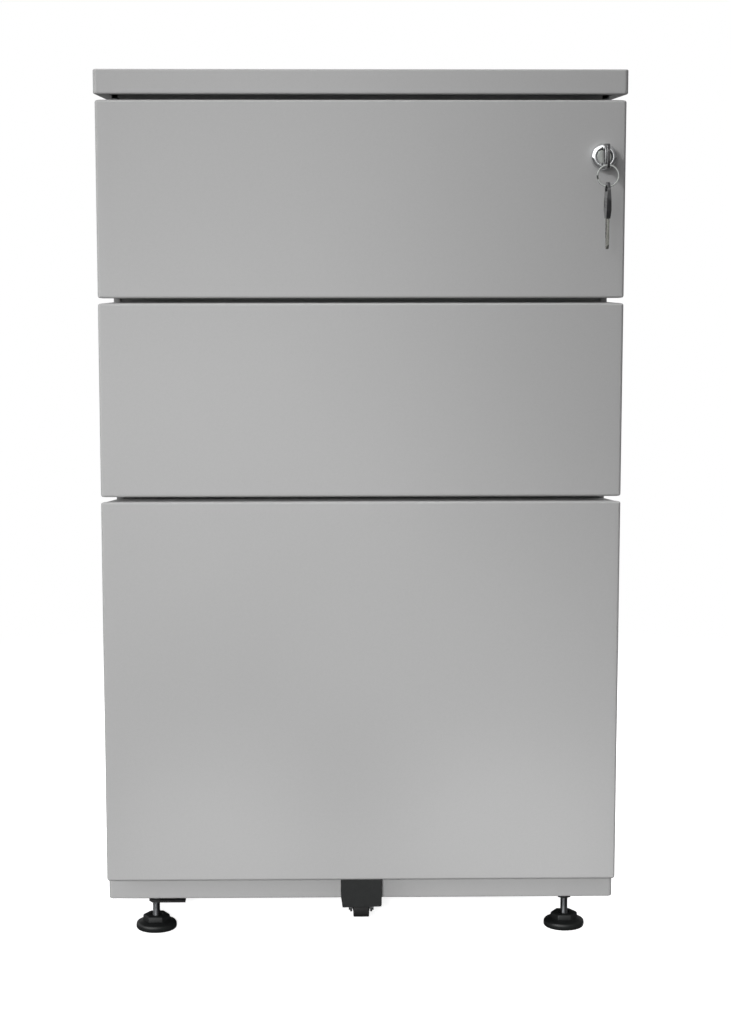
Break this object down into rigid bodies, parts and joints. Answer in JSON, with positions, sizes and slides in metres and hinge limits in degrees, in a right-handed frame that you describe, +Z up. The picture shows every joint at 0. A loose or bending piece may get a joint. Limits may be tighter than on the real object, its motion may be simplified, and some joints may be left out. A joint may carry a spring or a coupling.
{
  "type": "pedestal filing cabinet",
  "caption": "Grey steel pedestal filing cabinet: two box drawers over a hanging-file drawer, side finger pulls, gang lock with keys, anti-tilt castor and levelling feet.",
  "frame": {"origin": "on the floor under the middle of the bounding box, at the soles of the levelling feet", "axes": "+Z up, drawers open towards -Y, +X to the right as seen from the front"},
  "size_m": [0.39, 0.5364, 0.66],
  "materials": {
    "cabinet_paint": "powder coat, satin, very fine texture",
    "front_paint": "powder coat, satin, very fine texture",
    "inner_paint": "powder coat, satin",
    "zinc_steel": "bright zinc plate, drawn along its length",
    "buffer_rubber": "matt moulded rubber",
    "black_steel": "black painted steel",
    "bright_chrome": "polished chrome plate with fine wear",
    "key_nickel": "nickel-plated brass, milled cuts",
    "key_plastic": "moulded black plastic",
    "castor_plastic": "moulded black plastic",
    "wheel_rubber": "smooth hard rubber",
    "foot_plastic": "moulded black plastic with a slight sheen",
    "stem_steel": "threaded steel, dark zinc plate"
  },
  "bodies": {
    "carcass": {"lid": "cabinet_paint", "side_panel_left": "cabinet_paint", "side_panel_right": "cabinet_paint", "back_panel": "cabinet_paint", "base_tray": "cabinet_paint", "cross_rails": "inner_paint", "front_post_left": "inner_paint", "front_post_right": "inner_paint", "rear_posts": "inner_paint", "slide_outer_top": "zinc_steel", "slide_outer_middle": "zinc_steel", "slide_outer_file": "zinc_steel", "foot_plates": "black_steel", "back_screws": "zinc_steel", "slide_screws": "zinc_steel", "drawer_buffers": "buffer_rubber"},
    "lock_bar": {"lock_bar": "zinc_steel"},
    "slide_top": {"slide_middle_top": "zinc_steel"},
    "slide_middle": {"slide_middle_middle": "zinc_steel"},
    "slide_file": {"slide_middle_file": "zinc_steel"},
    "drawer_top": {"drawer_top_front": "front_paint", "drawer_top_liner": "inner_paint", "drawer_top_tub": "inner_paint", "drawer_top_back": "inner_paint", "drawer_top_catch": "zinc_steel", "slide_inner_top": "zinc_steel", "lock_housing": "bright_chrome", "lock_nut": "zinc_steel"},
    "drawer_middle": {"drawer_middle_front": "front_paint", "drawer_middle_liner": "inner_paint", "drawer_middle_tub": "inner_paint", "drawer_middle_back": "inner_paint", "drawer_middle_catch": "zinc_steel", "slide_inner_middle": "zinc_steel"},
    "drawer_file": {"drawer_file_front": "front_paint", "drawer_file_liner": "inner_paint", "drawer_file_tub": "inner_paint", "drawer_file_back": "inner_paint", "drawer_file_catch": "zinc_steel", "slide_inner_file": "zinc_steel", "hanging_rails": "zinc_steel", "castor_housing": "castor_plastic", "castor_fork": "zinc_steel", "castor_axle": "zinc_steel"},
    "castor_wheel": {"castor_wheel": "wheel_rubber"},
    "lock_plug": {"lock_plug": "bright_chrome", "lock_cam": "zinc_steel", "key_blade": "key_nickel", "key_head": "key_plastic"},
    "key_ring": {"key_ring": "bright_chrome"},
    "spare_key": {"spare_key_blade": "key_nickel", "spare_key_head": "key_plastic"},
    "foot_front_left": {"foot_pad_front_left": "foot_plastic", "foot_stem_front_left": "stem_steel"},
    "foot_front_right": {"foot_pad_front_right": "foot_plastic", "foot_stem_front_right": "stem_steel"},
    "foot_rear_left": {"foot_pad_rear_left": "foot_plastic", "foot_stem_rear_left": "stem_steel"},
    "foot_rear_right": {"foot_pad_rear_right": "foot_plastic", "foot_stem_rear_right": "stem_steel"}
  },
  "joints": [
    {"name": "drawer_top_slide", "type": "slide", "parent": "carcass", "child": "drawer_top", "axis": [0, -1, 0], "range_m": [0, 0.4]},
    {"name": "drawer_middle_slide", "type": "slide", "parent": "carcass", "child": "drawer_middle", "axis": [0, -1, 0], "range_m": [0, 0.4]},
    {"name": "drawer_file_slide", "type": "slide", "parent": "carcass", "child": "drawer_file", "axis": [0, -1, 0], "range_m": [0, 0.44]},
    {"name": "slide_top_travel", "type": "slide", "parent": "carcass", "child": "slide_top", "axis": [0, -1, 0], "range_m": [0, 0.2]},
    {"name": "slide_middle_travel", "type": "slide", "parent": "carcass", "child": "slide_middle", "axis": [0, -1, 0], "range_m": [0, 0.2]},
    {"name": "slide_file_travel", "type": "slide", "parent": "carcass", "child": "slide_file", "axis": [0, -1, 0], "range_m": [0, 0.22]},
    {"name": "key_turn", "type": "hinge", "parent": "drawer_top", "child": "lock_plug", "pos_m": [0.1774, -0.23175, 0.597], "axis": [0, 1, 0], "range_deg": [0, 90]},
    {"name": "lock_bar_lift", "type": "slide", "parent": "carcass", "child": "lock_bar", "axis": [0, 0, 1], "range_m": [0, 0.007]},
    {"name": "key_ring_swing", "type": "hinge", "parent": "lock_plug", "child": "key_ring", "pos_m": [0.1774, -0.25925, 0.59205], "axis": [1, 0, 0], "range_deg": [-45, 12]},
    {"name": "spare_key_swing", "type": "hinge", "parent": "key_ring", "child": "spare_key", "pos_m": [0.1774, -0.25925, 0.5754], "axis": [1, 0, 0], "range_deg": [-40, 14]},
    {"name": "castor_spin", "type": "hinge", "parent": "drawer_file", "child": "castor_wheel", "pos_m": [0, -0.22175, 0.0273], "axis": [1, 0, 0], "continuous": true},
    {"name": "foot_front_left_screw", "type": "slide", "parent": "carcass", "child": "foot_front_left", "axis": [0, 0, 1], "range_m": [-0.003, 0.0045]},
    {"name": "foot_front_right_screw", "type": "slide", "parent": "carcass", "child": "foot_front_right", "axis": [0, 0, 1], "range_m": [-0.003, 0.0045]},
    {"name": "foot_rear_left_screw", "type": "slide", "parent": "carcass", "child": "foot_rear_left", "axis": [0, 0, 1], "range_m": [-0.003, 0.0045]},
    {"name": "foot_rear_right_screw", "type": "slide", "parent": "carcass", "child": "foot_rear_right", "axis": [0, 0, 1], "range_m": [-0.003, 0.0045]}
  ],
  "couplings": [
    {"joint": "slide_top_travel", "follows": "drawer_top_slide", "ratio": 0.5},
    {"joint": "slide_middle_travel", "follows": "drawer_middle_slide", "ratio": 0.5},
    {"joint": "slide_file_travel", "follows": "drawer_file_slide", "ratio": 0.5},
    {"joint": "lock_bar_lift", "follows": "key_turn", "m_per_rad": 0.004456}
  ]
}
